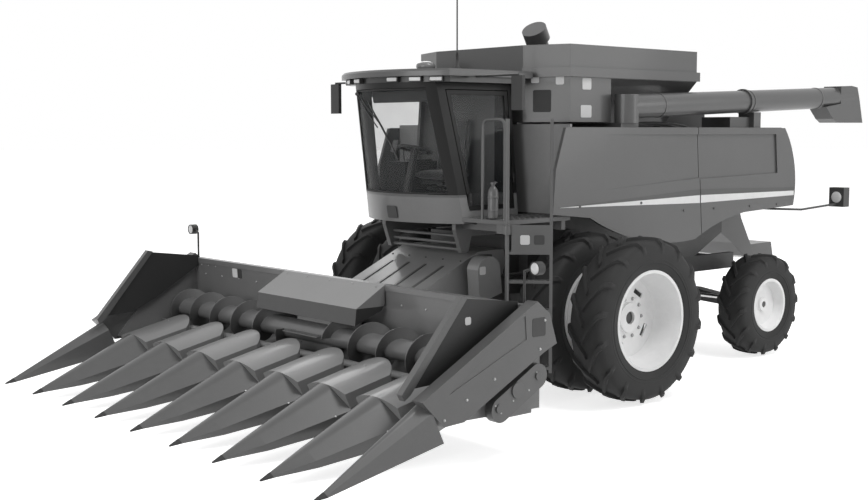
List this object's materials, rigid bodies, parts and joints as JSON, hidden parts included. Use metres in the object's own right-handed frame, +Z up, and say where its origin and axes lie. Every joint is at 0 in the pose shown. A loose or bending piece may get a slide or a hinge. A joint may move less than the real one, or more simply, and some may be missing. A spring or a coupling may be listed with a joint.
{
  "type": "combine harvester with corn head",
  "caption": "Rotary combine harvester in two greys with a row-crop corn head, dual drive wheels, raised grain tank and stowed unloading auger.",
  "frame": {"origin": "on the ground under the middle of the overall length and width", "axes": "+X forward in the travel direction, +Y the machine's left, +Z up"},
  "size_m": [10.601, 6.2236, 4.76],
  "materials": {
    "body_paint": "semi-gloss mid grey",
    "hood_paint": "semi-gloss light grey",
    "rim_paint": "gloss near-white",
    "frame_paint": "satin dark grey",
    "cab_paint": "satin dark grey",
    "tyre_rubber": "matte black",
    "bright_steel": "worn steel",
    "chrome_rod": "polished",
    "clear_glass": "clear",
    "black_plastic": "matte black",
    "seat_fabric": "woven",
    "lamp_plastic": "gloss"
  },
  "bodies": {
    "chassis": {"main_frame": "frame_paint", "front_axle": "frame_paint", "rear_axle": "frame_paint", "separator_body": "frame_paint", "rear_hood": "body_paint", "engine": "frame_paint", "cooling_box": "body_paint", "chopper": "body_paint", "front_bulkhead": "frame_paint", "grain_tank": "body_paint", "tank_extension": "body_paint", "loading_auger": "body_paint", "cab_base": "body_paint", "cab_frame": "cab_paint", "cab_glass": "clear_glass", "cab_roof": "cab_paint", "operator_seat": "seat_fabric", "cab_controls": "black_plastic", "platform": "frame_paint", "width_lamps": "frame_paint", "mirrors": "black_plastic", "roof_gear": "black_plastic"},
    "feeder_and_head": {"feeder_house": "body_paint", "head_frame": "body_paint", "row_units": "bright_steel", "gathering_chains": "bright_steel", "snouts": "body_paint", "snout_points": "black_plastic", "hoods": "hood_paint", "end_dividers": "body_paint", "ear_shields": "black_plastic", "auger_cover": "body_paint", "drive_cases": "black_plastic", "header_lamps": "black_plastic"},
    "cross_auger": {"cross_auger": "frame_paint"},
    "front_wheels_left": {"front_tyres_left": "tyre_rubber", "front_rims_left": "rim_paint"},
    "front_wheels_right": {"front_tyres_right": "tyre_rubber", "front_rims_right": "rim_paint"},
    "steering_left": {"knuckle_left": "frame_paint"},
    "steering_right": {"knuckle_right": "frame_paint"},
    "rear_wheel_left": {"rear_tyre_left": "tyre_rubber", "rear_rim_left": "rim_paint"},
    "rear_wheel_right": {"rear_tyre_right": "tyre_rubber", "rear_rim_right": "rim_paint"},
    "steering_rod": {"steering_rod": "chrome_rod"},
    "lift_barrel_left": {"lift_barrel_left": "frame_paint"},
    "lift_barrel_right": {"lift_barrel_right": "frame_paint"},
    "lift_rod_left": {"lift_rod_left": "chrome_rod"},
    "lift_rod_right": {"lift_rod_right": "chrome_rod"},
    "unloading_auger": {"unloading_auger": "body_paint"},
    "cab_door": {"cab_door": "cab_paint", "door_glass": "clear_glass"},
    "panel_front_left": {"side_panel_front_left": "body_paint"},
    "panel_front_right": {"side_panel_front_right": "body_paint"},
    "panel_rear_left": {"side_panel_rear_left": "body_paint"},
    "panel_rear_right": {"side_panel_rear_right": "body_paint"},
    "ladder": {"ladder": "frame_paint"}
  },
  "joints": [
    {"name": "front_wheels_left", "type": "hinge", "parent": "chassis", "child": "front_wheels_left", "pos_m": [0.265, 1.751, 0.92], "axis": [0, 1, 0], "continuous": true},
    {"name": "front_wheels_right", "type": "hinge", "parent": "chassis", "child": "front_wheels_right", "pos_m": [0.265, -1.751, 0.92], "axis": [0, 1, 0], "continuous": true},
    {"name": "steer_left", "type": "hinge", "parent": "chassis", "child": "steering_left", "pos_m": [-3.239, 0.95, 0.68], "axis": [0, 0, 1], "range_deg": [-33, 33]},
    {"name": "steer_right", "type": "hinge", "parent": "chassis", "child": "steering_right", "pos_m": [-3.239, -0.95, 0.68], "axis": [0, 0, 1], "range_deg": [-34, 34]},
    {"name": "rear_wheel_left", "type": "hinge", "parent": "steering_left", "child": "rear_wheel_left", "pos_m": [-3.239, 1.29, 0.68], "axis": [0, 1, 0], "continuous": true},
    {"name": "rear_wheel_right", "type": "hinge", "parent": "steering_right", "child": "rear_wheel_right", "pos_m": [-3.239, -1.29, 0.68], "axis": [0, 1, 0], "continuous": true},
    {"name": "steering_rod_slide", "type": "slide", "parent": "chassis", "child": "steering_rod", "axis": [0, 1, 0], "range_m": [-0.112, 0.112]},
    {"name": "feeder_lift", "type": "hinge", "parent": "chassis", "child": "feeder_and_head", "pos_m": [1.215, 0, 1.5], "axis": [0, -1, 0], "range_deg": [-1, 15]},
    {"name": "cross_auger_spin", "type": "hinge", "parent": "feeder_and_head", "child": "cross_auger", "pos_m": [3.065, 0, 0.815], "axis": [0, 1, 0], "continuous": true},
    {"name": "lift_barrel_swing_left", "type": "hinge", "parent": "chassis", "child": "lift_barrel_left", "pos_m": [0.515, 0.59, 0.85], "axis": [0, -1, 0], "range_deg": [-3, 13]},
    {"name": "lift_rod_slide_left", "type": "slide", "parent": "lift_barrel_left", "child": "lift_rod_left", "axis": [0.9991, 0, -0.0427], "range_m": [-0.03, 0.3]},
    {"name": "lift_barrel_swing_right", "type": "hinge", "parent": "chassis", "child": "lift_barrel_right", "pos_m": [0.515, -0.59, 0.85], "axis": [0, -1, 0], "range_deg": [-3, 13]},
    {"name": "lift_rod_slide_right", "type": "slide", "parent": "lift_barrel_right", "child": "lift_rod_right", "axis": [0.9991, 0, -0.0427], "range_m": [-0.03, 0.3]},
    {"name": "unloading_swing", "type": "hinge", "parent": "chassis", "child": "unloading_auger", "pos_m": [-0.395, 1.39, 3.255], "axis": [0, 0, -1], "range_deg": [0, 100]},
    {"name": "cab_door_swing", "type": "hinge", "parent": "chassis", "child": "cab_door", "pos_m": [0.893, 0.8052, 2.8], "axis": [0, -0.091, 0.9958], "range_deg": [0, 75]},
    {"name": "panel_front_left_lift", "type": "hinge", "parent": "chassis", "child": "panel_front_left", "pos_m": [-0.335, 1.5, 2.998], "axis": [1, 0, 0], "range_deg": [0, 75]},
    {"name": "panel_rear_left_lift", "type": "hinge", "parent": "chassis", "child": "panel_rear_left", "pos_m": [-2.535, 1.5, 2.998], "axis": [1, 0, 0], "range_deg": [0, 75]},
    {"name": "panel_front_right_lift", "type": "hinge", "parent": "chassis", "child": "panel_front_right", "pos_m": [-0.335, -1.5, 2.998], "axis": [-1, 0, 0], "range_deg": [0, 75]},
    {"name": "panel_rear_right_lift", "type": "hinge", "parent": "chassis", "child": "panel_rear_right", "pos_m": [-2.535, -1.5, 2.998], "axis": [-1, 0, 0], "range_deg": [0, 75]},
    {"name": "ladder_swing", "type": "hinge", "parent": "chassis", "child": "ladder", "pos_m": [1.727, 1.59, 1.7], "axis": [0, 0, -1], "range_deg": [0, 45]}
  ],
  "couplings": [
    {"joint": "steer_right", "follows": "steer_left", "ratio": 1},
    {"joint": "steering_rod_slide", "follows": "steer_left", "m_per_rad": 0.18},
    {"joint": "lift_barrel_swing_left", "follows": "feeder_lift", "ratio": 0.4578},
    {"joint": "lift_rod_slide_left", "follows": "feeder_lift", "m_per_rad": 0.6404},
    {"joint": "lift_barrel_swing_right", "follows": "feeder_lift", "ratio": 0.4578},
    {"joint": "lift_rod_slide_right", "follows": "feeder_lift", "m_per_rad": 0.6404}
  ]
}
